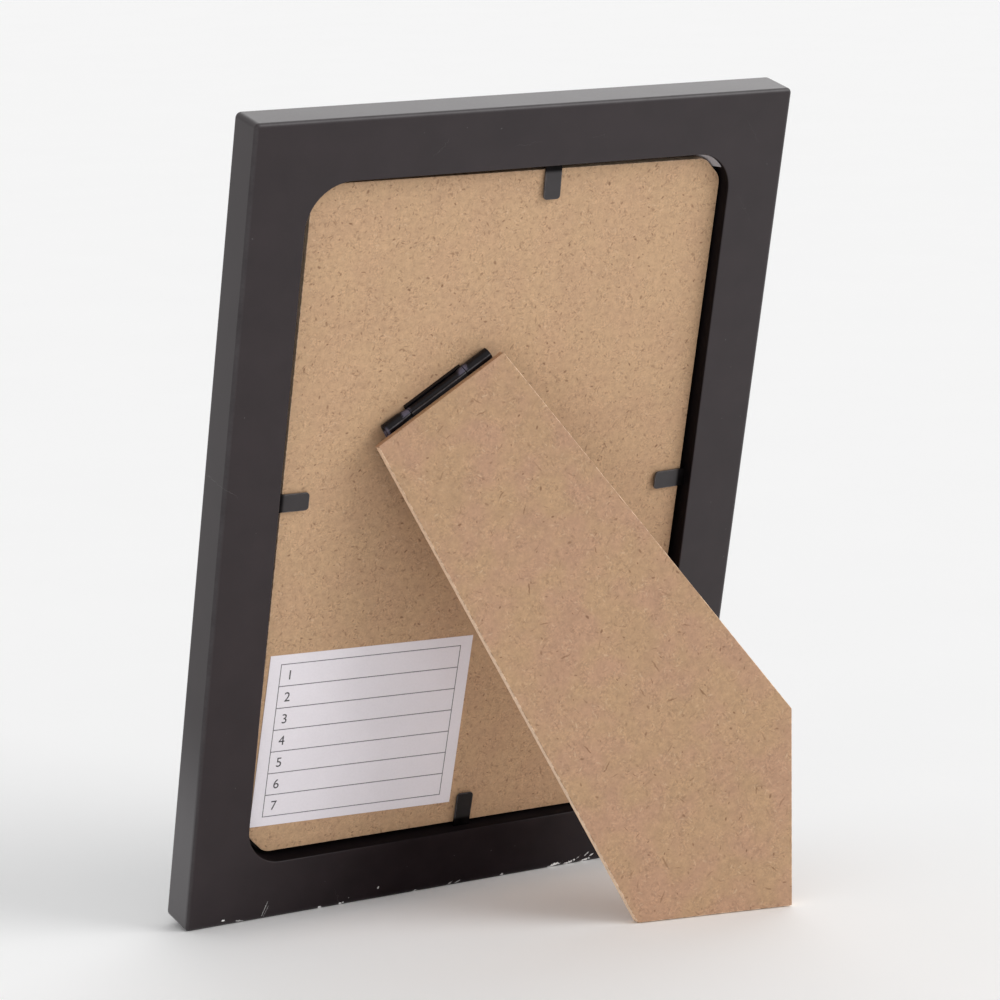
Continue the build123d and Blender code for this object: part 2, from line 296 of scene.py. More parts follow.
def box_corners(low, high, inset=0.0):
    """Corners of a box's outline in X and Y, drawn in by an inset."""
    left, right = low.x + inset, high.x - inset
    bottom, top = low.y + inset, high.y - inset
    return (left, bottom), (right, bottom), (right, top), (left, top)


def round_corners(bm, verts, radius, segments):
    """Rounds the corners of a flat outline."""
    bmesh.ops.bevel(
        bm, geom=verts, offset=radius, offset_type="OFFSET", segments=segments,
        profile=0.5, affect="VERTICES", material=-1,
    )


def soften(bm, edges, radius, segments):
    """Rounds edges of a solid."""
    bmesh.ops.bevel(
        bm, geom=edges, offset=radius, offset_type="OFFSET", segments=segments,
        profile=0.5, affect="EDGES", clamp_overlap=True, material=-1,
    )


def sharp_edges(bm, least_angle=radians(40)):
    """Edges where two faces meet at a clear angle."""
    return [edge for edge in bm.edges if edge.is_manifold and edge.calc_face_angle() > least_angle]


def thicken(bm, face, depth):
    """Draws a face out along Z into a closed slab."""
    drawn = bmesh.ops.extrude_face_region(bm, geom=[face])["geom"]
    verts = [item for item in drawn if isinstance(item, bmesh.types.BMVert)]
    bmesh.ops.translate(bm, verts=verts, vec=(0, 0, depth))


def roll(bm, face, centre, axis, sweep, steps):
    """Draws a face round an axis into a curved strip with a closed end."""
    edges, verts = face.edges[:], face.verts[:]
    bmesh.ops.delete(bm, geom=[face], context="FACES_ONLY")
    rolled = bmesh.ops.spin(
        bm, geom=edges + verts, cent=centre, axis=axis, angle=sweep, steps=steps, use_merge=False
    )
    last = [item for item in rolled["geom_last"] if isinstance(item, bmesh.types.BMEdge)]
    bmesh.ops.contextual_create(bm, geom=last)


def only_face(bm):
    """The one face of a bmesh that holds a flat outline."""
    bm.faces.ensure_lookup_table()
    return bm.faces[0]


def finish_piece(name, bm, axes, material, body, nodes):
    """Places a bmesh drawn in a piece's axes and makes it the piece that stands for some CAD nodes."""
    bm.transform(axes)
    bmesh.ops.recalc_face_normals(bm, faces=bm.faces)
    piece = make_object(name, bm, material)
    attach(piece, body)
    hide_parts(*nodes)


def make_object(name, bm, material):
    """Object at the origin with a bmesh's shape, smooth but for its sharp edges."""
    mesh = bpy.data.meshes.new(name)
    bm.to_mesh(mesh)
    bm.free()
    mesh.materials.append(material)
    mesh.shade_smooth()
    mesh.set_sharp_from_angle(angle=radians(35))
    piece = bpy.data.objects.new(name, mesh)
    bpy.context.scene.collection.objects.link(piece)
    weighted = piece.modifiers.new("Even shading", "WEIGHTED_NORMAL")
    weighted.keep_sharp = True
    return piece


# Shader steps that several finishes share

def feed(tree, socket, value):
    """Links a socket to another, or sets its value."""
    if isinstance(value, bpy.types.NodeSocket):
        tree.links.new(value, socket)
    else:
        socket.default_value = value


def add_node(tree, kind, inputs=None, **settings):
    """Adds a shader node with its settings and inputs."""
    node = tree.nodes.new("ShaderNode" + kind)
    for name, value in settings.items():
        setattr(node, name, value)
    for name, value in (inputs or {}).items():
        feed(tree, node.inputs[name], value)
    return node


def maths(tree, operation, *values):
    """Result of a sum on values."""
    node = add_node(tree, "Math", dict(enumerate(values)), operation=operation)
    return node.outputs["Value"]


def vector_maths(tree, operation, *values):
    """Result of a sum on vectors."""
    node = add_node(tree, "VectorMath", dict(enumerate(values)), operation=operation)
    return node.outputs["Value" if operation == "LENGTH" else "Vector"]


def smooth_step(tree, value, start, end):
    """0 at the start, 1 at the end, and a smooth rise between them."""
    inputs = {"Value": value, "From Min": start, "From Max": end}
    return add_node(tree, "MapRange", inputs, interpolation_type="SMOOTHSTEP").outputs["Result"]


def mix_colours(tree, share, first, second):
    """Colour that goes from the first to the second by a share."""
    node = add_node(tree, "Mix", data_type="RGBA")
    feed(tree, node.inputs["Factor"], share)
    for index, value in ((6, first), (7, second)):
        linked = isinstance(value, bpy.types.NodeSocket)
        feed(tree, node.inputs[index], value if linked else (*value, 1.0))
    return node.outputs[2]


def lay_over(tree, under, over, mask, strength):
    """A colour with another laid over it, as far as a mask times a strength."""
    return mix_colours(tree, maths(tree, "MULTIPLY", mask, strength), under, over)


def vary(tree, base, *changes):
    """A base value plus changes, each a socket times an amount."""
    for socket, amount in changes:
        base = maths(tree, "MULTIPLY_ADD", socket, amount, base)
    return base


def shade(tree, plain, brightness):
    """A colour made lighter or darker by a factor that changes over the surface."""
    scaled = add_node(tree, "VectorMath", {"Scale": brightness}, operation="SCALE")
    feed(tree, scaled.inputs[0], plain if isinstance(plain, bpy.types.NodeSocket) else tuple(plain))
    return scaled.outputs["Vector"]


def bump(tree, height, strength, depth):
    """Normal of a surface with small relief."""
    inputs = {"Height": height, "Strength": strength, "Distance": depth}
    return add_node(tree, "Bump", inputs).outputs["Normal"]


def own_axes(tree, axes, shift=(0.0, 0.0, 0.0)):
    """Object coordinates turned into a piece's own axes, in millimetres."""
    location, turn, _ = (axes @ Matrix.Translation(shift)).decompose()
    inputs = {
        "Vector": add_node(tree, "TexCoord").outputs["Object"],
        "Location": location,
        "Rotation": turn.to_euler(),
        "Scale": (MILLIMETRE, MILLIMETRE, MILLIMETRE),
    }
    return add_node(tree, "Mapping", inputs, vector_type="TEXTURE").outputs["Vector"]


def split(tree, vector):
    """X, Y and Z of a vector."""
    return add_node(tree, "SeparateXYZ", {"Vector": vector}).outputs[:]


def new_material(name):
    """Material with its tree and its Principled shader."""
    material = bpy.data.materials.new(name)
    material.use_nodes = True
    tree = material.node_tree
    return material, tree, next(node for node in tree.nodes if node.type == "BSDF_PRINCIPLED")


def group_tree(name, inputs, outputs):
    """Shader node group with named inputs and outputs: its tree, what comes in and what goes out."""
    tree = bpy.data.node_groups.new(name, "ShaderNodeTree")
    for label, (kind, default) in inputs.items():
        socket = tree.interface.new_socket(label, in_out="INPUT", socket_type="NodeSocket" + kind)
        socket.default_value = default
    for label in outputs:
        tree.interface.new_socket(label, in_out="OUTPUT", socket_type="NodeSocketFloat")
    return tree, tree.nodes.new("NodeGroupInput").outputs, tree.nodes.new("NodeGroupOutput").inputs


def use_group(tree, name, make, inputs):
    """Outputs of a shader group, which is made the first time."""
    group = bpy.data.node_groups.get(name) or make(name)
    node = add_node(tree, "Group", node_tree=group)
    for label, value in inputs.items():
        feed(tree, node.inputs[label], value)
    return node.outputs


def make_fibre_group(name):
    """Short fibres that lie in all directions over X and Y, one to a cell."""
    tree, given, made = group_tree(name, {
        "Vector": ("Vector", (0.0, 0.0, 0.0)), "Spacing": ("Float", 1.0), "Length": ("Float", 0.8),
        "Width": ("Float", 0.15), "Share": ("Float", 0.5), "Curl": ("Float", 0.1),
    }, ("Mask",))
    ripple = add_node(tree, "TexNoise", {"Vector": given["Vector"], "Scale": 1.1, "Detail": 1.0})
    offset = vector_maths(tree, "SUBTRACT", ripple.outputs["Color"], (0.5, 0.5, 0.5))
    curled = add_node(tree, "VectorMath", {0: offset, "Scale": given["Curl"]}, operation="SCALE")
    bent = vector_maths(tree, "ADD", given["Vector"], curled.outputs["Vector"])
    density = maths(tree, "DIVIDE", 1.0, given["Spacing"])
    cells = add_node(tree, "VectorMath", {0: bent, "Scale": density}, operation="SCALE").outputs["Vector"]
    cell = add_node(tree, "TexVoronoi", {"Vector": cells, "Scale": 1.0}, voronoi_dimensions="2D")
    chance = add_node(tree, "SeparateColor", {"Color": cell.outputs["Color"]}).outputs
    away = vector_maths(tree, "SUBTRACT", cells, cell.outputs["Position"])
    bearing = maths(tree, "MULTIPLY", chance["Red"], pi)
    turned = add_node(tree, "VectorRotate", {"Vector": away, "Angle": bearing}, rotation_type="Z_AXIS")
    chosen = maths(tree, "LESS_THAN", chance["Green"], given["Share"])
    luck = maths(tree, "DIVIDE", chance["Green"], given["Share"])
    smallness = maths(tree, "MULTIPLY_ADD", luck, 1.6, 1.2)
    reach = maths(tree, "MULTIPLY", given["Spacing"], smallness)
    stretch = add_node(tree, "CombineXYZ", {
        "X": maths(tree, "DIVIDE", reach, given["Length"]),
        "Y": maths(tree, "DIVIDE", reach, given["Width"]),
    })
    spread = vector_maths(tree, "MULTIPLY", turned.outputs["Vector"], stretch.outputs["Vector"])
    shape = smooth_step(tree, vector_maths(tree, "LENGTH", spread), 1.0, 0.35)
    strength = maths(tree, "MULTIPLY_ADD", maths(tree, "POWER", chance["Blue"], 1.8), 0.8, 0.2)
    feed(tree, made["Mask"], maths(tree, "MULTIPLY", maths(tree, "MULTIPLY", shape, chosen), strength))
    return tree


def fibres(tree, place, spacing, fibre_length, width, share, curl=0.1):
    """Mask of short fibres, sizes in millimetres."""
    return use_group(tree, "fibres", make_fibre_group, {
        "Vector": place, "Spacing": spacing, "Length": fibre_length,
        "Width": width, "Share": share, "Curl": curl,
    })["Mask"]


def make_grain_group(name):
    """Uneven tone around zero, in patches of a size."""
    tree, given, made = group_tree(name, {
        "Vector": ("Vector", (0.0, 0.0, 0.0)), "Size": ("Float", 1.0), "Detail": ("Float", 2.0),
    }, ("Tone",))
    inputs = {
        "Vector": given["Vector"], "Scale": maths(tree, "DIVIDE", 1.0, given["Size"]),
        "Detail": given["Detail"], "Roughness": 0.6,
    }
    noise = add_node(tree, "TexNoise", inputs)
    feed(tree, made["Tone"], maths(tree, "MULTIPLY_ADD", noise.outputs["Fac"], 2.0, -1.0))
    return tree


def grain(tree, place, size, detail=2.0):
    """Uneven tone from about -0.5 to 0.5, in patches of a size in millimetres."""
    inputs = {"Vector": place, "Size": size, "Detail": detail}
    return use_group(tree, "grain", make_grain_group, inputs)["Tone"]


def make_wear_group(name):
    """Ragged band along an edge, from the distance to it."""
    tree, given, made = group_tree(name, {
        "Vector": ("Vector", (0.0, 0.0, 0.0)), "Edge": ("Float", 0.0), "Reach": ("Float", 1.0),
        "Patches": ("Float", 1.5),
    }, ("Mask",))
    ragged = grain(tree, given["Vector"], given["Patches"], 3.0)
    near = maths(tree, "DIVIDE", given["Edge"], given["Reach"])
    feed(tree, made["Mask"], smooth_step(tree, maths(tree, "MULTIPLY_ADD", ragged, 1.4, near), 0.9, 0.2))
    return tree


def wear(tree, place, edge, reach, patches):
    """Mask of a ragged band along an edge, sizes in millimetres."""
    return use_group(tree, "wear", make_wear_group, {
        "Vector": place, "Edge": edge, "Reach": reach, "Patches": patches,
    })["Mask"]


def make_spot_group(name):
    """One ragged oval spot."""
    tree, given, made = group_tree(name, {
        "Vector": ("Vector", (0.0, 0.0, 0.0)), "Middle": ("Vector", (0.0, 0.0, 0.0)),
        "Size": ("Vector", (1.0, 1.0, 1.0)), "Turn": ("Vector", (0.0, 0.0, 0.0)),
        "Strength": ("Float", 1.0),
    }, ("Mask",))
    inputs = {
        "Vector": given["Vector"], "Location": given["Middle"],
        "Rotation": given["Turn"], "Scale": given["Size"],
    }
    placed = add_node(tree, "Mapping", inputs, vector_type="TEXTURE").outputs["Vector"]
    ragged = grain(tree, given["Vector"], 0.5, 3.0)
    reach = maths(tree, "MULTIPLY_ADD", ragged, 1.6, vector_maths(tree, "LENGTH", placed))
    inside = smooth_step(tree, reach, 1.0, 0.7)
    feed(tree, made["Mask"], maths(tree, "MULTIPLY", inside, given["Strength"]))
    return tree


def spot(tree, place, across, up, half_length, half_width, turn, strength):
    """Mask of a ragged oval spot, sizes in millimetres and its turn in degrees."""
    return use_group(tree, "spot", make_spot_group, {
        "Vector": place, "Middle": (across, up, 0.0), "Size": (half_length, half_width, 3.0),
        "Turn": (0.0, 0.0, radians(turn)), "Strength": strength,
    })["Mask"]


# Finishes

def make_frame_paint(colours):
    """Satin black paint, rubbed at the outer edges, with chips along the bottom edge at the back, and
    painted shade and reflection.
    """
    material, tree, shader = new_material("frame paint")
    place = own_axes(tree, FRAME_AXES)
    x, y, z = split(tree, place)
    low, high = (corner / MILLIMETRE for corner in node_box("frame", FRAME_AXES))
    side = maths(tree, "SUBTRACT", high.x, maths(tree, "ABSOLUTE", x))
    end = maths(tree, "MINIMUM", y, maths(tree, "SUBTRACT", high.y, y))
    depth = maths(tree, "ABSOLUTE", z)
    border = maths(tree, "MINIMUM", side, end)
    arris = maths(tree, "ADD", border, depth)
    inner = (rebate_box()[0].x / MILLIMETRE) - low.x
    # Painted shade: inside the rebate the paint is laid over with near-black, made matt and loses its
    # coat.
    rebate_shade = smooth_step(tree, border, inner - 0.4, inner - 0.1)
    rebate_shade = maths(tree, "MULTIPLY", rebate_shade, smooth_step(tree, depth, 0.03, 0.2))

    cloud = grain(tree, place, 9.0)
    peel = grain(tree, place, 0.7)
    dust = fibres(tree, place, 6.5, 0.35, 0.22, 0.22)
    hairs = fibres(tree, place, 17.0, 9.0, 0.06, 0.2, 1.5)
    patchy = vary(tree, 0.6, (cloud, 0.5), (peel, 0.3))
    rubbed = maths(tree, "MULTIPLY", smooth_step(tree, arris, 1.0, 0.4), patchy)

    chips = 0.0
    for chip in EDGE_CHIPS:
        chips = maths(tree, "MAXIMUM", chips, spot(tree, place, *chip))

    # Painted reflection: the outer sides are lightened low down with the worn paint colour.
    outer_side = smooth_step(tree, border, 0.25, 0.05)
    painted_floor_reflection = maths(tree, "MULTIPLY", outer_side, smooth_step(tree, y, 52.0, 18.0))
    # Painted shade: low on the back, most near the middle, the paint is made darker and its coat sheen is
    # taken away.
    on_back = smooth_step(tree, depth, 0.9, 0.3)
    low_down = maths(tree, "MULTIPLY", smooth_step(tree, y, 22.0, 11.0), on_back)
    painted_shade_low = maths(tree, "MULTIPLY", low_down, smooth_step(tree, maths(tree, "ABSOLUTE", x), 66.0, 8.0))
    tone = vary(tree, 1.0, (cloud, 0.25), (peel, 0.12), (painted_shade_low, -0.4))
    black = shade(tree, colours.paint, tone)
    black = lay_over(tree, black, colours.paint_worn_and_reflection, painted_floor_reflection, 0.95)
    black = lay_over(tree, black, colours.paint_worn_and_reflection, rubbed, 0.40)
    black = lay_over(tree, black, colours.rebate, rebate_shade, 0.85)
    black = lay_over(tree, black, colours.chip, dust, 0.12)
    black = lay_over(tree, black, colours.chip, hairs, 0.10)
    feed(tree, shader.inputs["Base Color"], mix_colours(tree, chips, black, colours.chip))
    rough = vary(
        tree, 0.43, (cloud, 0.08), (peel, 0.05), (rubbed, -0.06),
        (chips, 0.3), (hairs, 0.1), (rebate_shade, 0.3),
    )
    feed(tree, shader.inputs["Roughness"], rough)
    # Coat weight, lowered by the painted shade low on the back and in the rebate, with a painted sheen
    # that grows towards the right.
    coat_and_painted_sheen = vary(
        tree, 0.84, (painted_shade_low, -0.76), (rebate_shade, -0.8), (outer_side, -0.12), (cloud, 0.06), (x, 0.001)
    )
    feed(tree, shader.inputs["Coat Weight"], coat_and_painted_sheen)
    height = vary(tree, 0.0, (peel, 0.5), (chips, -0.6))
    feed(tree, shader.inputs["Normal"], bump(tree, height, 0.12, 0.00006))
    shader.inputs["Specular IOR Level"].default_value = 0.06
    shader.inputs["Coat Roughness"].default_value = 0.42
    return material


def make_fibreboard(name, axes, low, high, face_colour, colours, shift, speckle, stroke, blushing):
    """Pressed fibreboard: mottled tan with clusters of dark and pale fibres, and paler cut edges that
    also carry a painted highlight.
    """
    material, tree, shader = new_material(name)
    place = own_axes(tree, axes, shift)
    aside = vector_maths(tree, "ADD", place, (7.3, 3.1, 0.0))
    low, high = low / MILLIMETRE, high / MILLIMETRE
    _, y, z = split(tree, own_axes(tree, axes))
    inside = maths(tree, "MINIMUM", maths(tree, "SUBTRACT", z, low.z), maths(tree, "SUBTRACT", high.z, z))
    # Painted highlight: the cut edges, but not the top one, take a paler colour, partly their own tone
    # and partly light falling on them.
    sawn_edge_and_highlight = smooth_step(tree, inside, 0.01, 0.06)
    sawn_edge_and_highlight = maths(tree, "MULTIPLY", sawn_edge_and_highlight, smooth_step(tree, y, high.y - 0.25, high.y - 0.6))
    mottle = grain(tree, place, 1.5)
    off_arris = smooth_step(tree, inside, 0.15, 0.3)
    broken = maths(tree, "MAXIMUM", off_arris, smooth_step(tree, mottle, -0.35, 0.35))
    sawn_edge_and_highlight = maths(tree, "MULTIPLY", sawn_edge_and_highlight, broken)

    cloud = grain(tree, place, 11.0)
    cluster = smooth_step(tree, grain(tree, aside, 3.4), -0.2, 0.25)
    busy = vary(tree, 0.35, (cluster, 0.65))
    fine = maths(tree, "MULTIPLY", grain(tree, place, 0.42, 3.0), busy)
    bold_specks = fibres(tree, place, 2.2, 0.85, 0.44, 0.62 * speckle, 0.3)
    weak_specks = maths(tree, "MULTIPLY", fibres(tree, aside, 1.0, 1.25, 0.44, 0.75, 0.5), busy)
    strokes = fibres(tree, aside, 2.8, stroke, 0.32, 0.24, 0.5)
    pale_fibres = maths(tree, "MULTIPLY", fibres(tree, place, 1.2, 1.3, 0.36, 0.6, 0.4), busy)
    blush = smooth_step(tree, grain(tree, aside, 9.0, 1.0), -0.35, 0.35)

    tone = vary(tree, 1.0, (fine, 0.48), (mottle, 0.20), (cloud, 0.06))
    tan = lay_over(tree, face_colour, colours.blush, blush, blushing)
    tan = shade(tree, tan, tone)
    tan = lay_over(tree, tan, colours.fibre_pale, pale_fibres, 0.50)
    tan = lay_over(tree, tan, colours.fibre_dark, weak_specks, 0.20 + 0.32 * speckle)
    tan = lay_over(tree, tan, colours.fibre_dark, strokes, 0.62)
    tan = lay_over(tree, tan, colours.fibre_dark, bold_specks, 0.75)
    pale = shade(tree, colours.cut_edge_and_highlight, vary(tree, 1.0, (fine, 0.45), (mottle, 0.25)))
    feed(tree, shader.inputs["Base Color"], mix_colours(tree, sawn_edge_and_highlight, tan, pale))
    rough = vary(tree, 0.74, (fine, 0.12), (bold_specks, -0.08), (sawn_edge_and_highlight, 0.12))
    feed(tree, shader.inputs["Roughness"], rough)
    height = vary(tree, 0.0, (fine, 0.6), (mottle, 0.3), (bold_specks, -0.5), (pale_fibres, 0.3))
    feed(tree, shader.inputs["Normal"], bump(tree, height, 0.35, 0.00006))
    return material


def make_label_paper(sizes, colours):
    """White paper printed with a ruled form."""
    material, tree, shader = new_material("label paper")
    place = own_axes(tree, LABEL_AXES)
    x, y, _ = split(tree, place)
    row = sizes.row_height / MILLIMETRE
    half_height = row * sizes.row_count / 2
    half_width = sizes.form_width / 2 / MILLIMETRE
    half_line = sizes.line_width / 2 / MILLIMETRE
    fuzz = grain(tree, place, 0.25)

    over_side = maths(tree, "SUBTRACT", maths(tree, "ABSOLUTE", x), half_width)
    over_end = maths(tree, "SUBTRACT", maths(tree, "ABSOLUTE", y), half_height)
    to_side = maths(tree, "ABSOLUTE", over_side)
    phase = maths(tree, "PINGPONG", maths(tree, "ADD", y, half_height), row / 2)
    to_row = maths(tree, "MINIMUM", phase, maths(tree, "ABSOLUTE", over_end))
    outside = maths(tree, "MAXIMUM", over_side, over_end)
    to_line = maths(tree, "MINIMUM", to_side, to_row)
    to_line = maths(tree, "MULTIPLY_ADD", fuzz, 0.05, to_line)
    inside_form = maths(tree, "LESS_THAN", outside, half_line)
    line = smooth_step(tree, to_line, half_line + 0.04, half_line - 0.04)
    line = maths(tree, "MULTIPLY", line, inside_form)

    pulp = grain(tree, place, 0.5, 3.0)
    cloud = grain(tree, place, 14.0)
    paper = shade(tree, colours.label, vary(tree, 1.0, (pulp, 0.05), (cloud, 0.05)))
    hairs = fibres(tree, place, 3.0, 1.2, 0.06, 0.3, 0.8)
    paper = lay_over(tree, paper, colours.ink, hairs, 0.10)
    feed(tree, shader.inputs["Base Color"], lay_over(tree, paper, colours.ink, line, 0.9))
    feed(tree, shader.inputs["Roughness"], vary(tree, 0.62, (pulp, 0.1)))
    feed(tree, shader.inputs["Normal"], bump(tree, pulp, 0.12, 0.00003))
    return material


def make_ink(colours):
    """Printed black."""
    material, tree, shader = new_material("ink")
    place = own_axes(tree, LABEL_AXES)
    black = shade(tree, colours.ink, vary(tree, 1.0, (grain(tree, place, 0.3), 0.6)))
    feed(tree, shader.inputs["Base Color"], black)
    feed(tree, shader.inputs["Roughness"], vary(tree, 0.6, (grain(tree, place, 0.5), 0.1)))
    return material


def make_insert_paper(low, high, corner, sizes, colours):
    """Smooth paper behind the glass, with painted shade as a black margin round its back and on its
    turned up corner.
    """
    material, tree, shader = new_material("insert paper")
    place = own_axes(tree, FRAME_AXES)
    pulp = grain(tree, place, 0.6, 3.0)
    cloud = grain(tree, place, 22.0)
    middle, half = (low + high) / 2 / MILLIMETRE, (high - low) / 2 / MILLIMETRE
    rounding = corner / MILLIMETRE
    from_middle = vector_maths(tree, "SUBTRACT", place, (middle.x, middle.y, 0.0))
    off_middle = vector_maths(tree, "ABSOLUTE", from_middle)
    beyond = vector_maths(tree, "SUBTRACT", off_middle, (half.x - rounding, half.y - rounding, 1000.0))
    reach = vector_maths(tree, "LENGTH", vector_maths(tree, "MAXIMUM", beyond, (0.0, 0.0, 0.0)))
    # Painted shade: a near-black margin round the back of the sheet, and a darker turned up corner.
    margin_start = rounding - sizes.insert_margin / MILLIMETRE
    margin = smooth_step(tree, reach, margin_start - 0.1, margin_start + 0.1)
    _, _, z = split(tree, place)
    top = high.z / MILLIMETRE
    turned_up = smooth_step(tree, z, top + 0.05, top + 0.25)
    on_back = maths(tree, "SUBTRACT", smooth_step(tree, z, top - 0.2, top - 0.1), turned_up)
    margin = maths(tree, "MULTIPLY", margin, on_back)
    paper = shade(tree, colours.insert, vary(tree, 1.0, (pulp, 0.04), (cloud, 0.06), (turned_up, -0.22)))
    feed(tree, shader.inputs["Base Color"], mix_colours(tree, margin, paper, colours.rebate))
    feed(tree, shader.inputs["Roughness"], vary(tree, 0.55, (pulp, 0.08)))
    feed(tree, shader.inputs["Normal"], bump(tree, pulp, 0.08, 0.00003))
    return material


def make_tab_black(name, axes, tone, colours):
    """Black coated sheet, rubbed at the tip and the sides, with painted shade near the frame that darkens
    it and takes its coat away.
    """
    material, tree, shader = new_material(name)
    place = own_axes(tree, axes)
    x, _, _ = split(tree, place)
    rubbed = maths(tree, "MULTIPLY", wear(tree, place, tip_edges(tree, place), 1.0, 0.8), 0.35)
    # Painted shade: near the frame the tab is made darker and gets no coat.
    tongue = smooth_step(tree, x, 1.1, 2.0)
    skin = grain(tree, place, 0.35)
    cloud = grain(tree, place, 3.0)
    dust = fibres(tree, place, 2.6, 0.3, 0.16, 0.3)
    black_with_painted_shade = vary(tree, 0.2 * tone, (tongue, 0.8 * tone), (cloud, 0.3), (skin, 0.15))
    black = shade(tree, colours.metal, black_with_painted_shade)
    black = lay_over(tree, black, colours.worn_metal_and_highlight, rubbed, tongue)
    feed(tree, shader.inputs["Base Color"], lay_over(tree, black, colours.chip, dust, 0.2))
    feed(tree, shader.inputs["Roughness"], vary(tree, 0.4, (cloud, 0.12), (skin, 0.08), (rubbed, 0.08)))
    feed(tree, shader.inputs["Coat Weight"], maths(tree, "MULTIPLY", tongue, tone))
    feed(tree, shader.inputs["Normal"], bump(tree, skin, 0.15, 0.00004))
    shader.inputs["Specular IOR Level"].default_value = 0.05
    shader.inputs["Coat Roughness"].default_value = 0.36
    return material


def make_hinge_black(name, axes, ridge, half, sizes, colours):
    """Black sheet with a painted highlight along a ridge of the barrel and at its left end, and lighter
    grey at the knuckles' shoulders.
    """
    material, tree, shader = new_material(name)
    place = own_axes(tree, axes)
    x, y, z = split(tree, place)
    skin = grain(tree, place, 0.35)
    cloud = grain(tree, place, 3.0)
    turn = maths(tree, "ARCTAN2", y, z)
    off_ridge = maths(tree, "ABSOLUTE", maths(tree, "SUBTRACT", turn, ridge))
    # Painted highlight: a thin pale, half metallic line along the barrel's ridge.
    ridge_highlight = smooth_step(tree, maths(tree, "MULTIPLY_ADD", skin, 0.08, off_ridge), 0.13, 0.03)
    ridge_highlight = maths(tree, "MULTIPLY", ridge_highlight, vary(tree, 0.5, (cloud, 0.6)))

    inner = half - sizes.end_knuckle
    slant = vary(tree, x, (y, -0.6), (skin, 0.5))
    shoulders = 0.0
    for start, stop in ((-inner - sizes.shoulder, -inner), (sizes.recess_end, inner)):
        middle, reach = (start + stop) / 2 / MILLIMETRE, (stop - start) / 2 / MILLIMETRE
        off_middle = maths(tree, "ABSOLUTE", maths(tree, "SUBTRACT", slant, middle))
        band = smooth_step(tree, off_middle, reach + 0.3, reach - 0.5)
        shoulders = maths(tree, "MAXIMUM", shoulders, band)
    shoulders = maths(tree, "MULTIPLY", shoulders, smooth_step(tree, turn, ridge + 0.1, ridge + 0.3))
    shoulders = maths(tree, "MULTIPLY", shoulders, smooth_step(tree, turn, ridge + 1.7, ridge + 0.9))
    # Painted highlight: a pale spot at the barrel's left end, in the shoulders' grey.
    from_end = maths(tree, "ADD", x, half / MILLIMETRE)
    left_end = smooth_step(tree, from_end, 0.7, 0.2)
    end_highlight = maths(tree, "MULTIPLY", left_end, smooth_step(tree, turn, ridge + 0.9, ridge))
    shoulders = maths(tree, "MAXIMUM", shoulders, end_highlight)

    black = shade(tree, colours.hinge, vary(tree, 1.0, (cloud, 0.5), (skin, 0.4)))
    black = lay_over(tree, black, colours.shoulder, shoulders, 0.85)
    feed(tree, shader.inputs["Base Color"], mix_colours(tree, ridge_highlight, black, colours.worn_metal_and_highlight))
    feed(tree, shader.inputs["Roughness"], vary(tree, 0.36, (cloud, 0.12), (skin, 0.1), (shoulders, 0.1)))
    feed(tree, shader.inputs["Metallic"], maths(tree, "MULTIPLY", ridge_highlight, 0.5))
    feed(tree, shader.inputs["Normal"], bump(tree, skin, 0.2, 0.00005))
    shader.inputs["Specular IOR Level"].default_value = 0.18
    return material


def tip_edges(tree, place):
    """Distance from a tab's tip and sides, in millimetres."""
    _, high = node_box("top_tab", find_tab_axes("top"))
    x, y, _ = split(tree, place)
    to_tip = maths(tree, "SUBTRACT", high.x / MILLIMETRE, x)
    to_side = maths(tree, "SUBTRACT", high.y / MILLIMETRE, maths(tree, "ABSOLUTE", y))
    return maths(tree, "MULTIPLY", maths(tree, "MINIMUM", to_tip, to_side), 4.0)


def make_steel(colours):
    """Dull steel."""
    material, tree, shader = new_material("tack steel")
    place = own_axes(tree, HINGE_AXES)
    skin = grain(tree, place, 0.3)
    feed(tree, shader.inputs["Base Color"], shade(tree, colours.steel, vary(tree, 1.0, (skin, 0.3))))
    feed(tree, shader.inputs["Roughness"], vary(tree, 0.38, (skin, 0.2)))
    shader.inputs["Metallic"].default_value = 1.0
    return material


def make_glass(colours):
    """Clear glass with faint smears."""
    material, tree, shader = new_material("glass")
    place = own_axes(tree, FRAME_AXES)
    smear = grain(tree, place, 18.0, 3.0)
    feed(tree, shader.inputs["Base Color"], shade(tree, colours.glass, vary(tree, 1.0, (smear, 0.02))))
    feed(tree, shader.inputs["Roughness"], vary(tree, 0.03, (smear, 0.04)))
    shader.inputs["IOR"].default_value = 1.5
    shader.inputs["Transmission Weight"].default_value = 1.0
    return material


def make_floor_finish(colours):
    """Pale matt floor with a very faint unevenness."""
    material, tree, shader = new_material("studio floor")
    place = own_axes(tree, Matrix.Identity(4))
    tone = vary(tree, 1.0, (grain(tree, place, 60.0), 0.01))
    feed(tree, shader.inputs["Base Color"], shade(tree, colours.floor, tone))
    shader.inputs["Roughness"].default_value = 0.9
    shader.inputs["Specular IOR Level"].default_value = 0.2
    return material


# Operators, one for each piece or group of like pieces

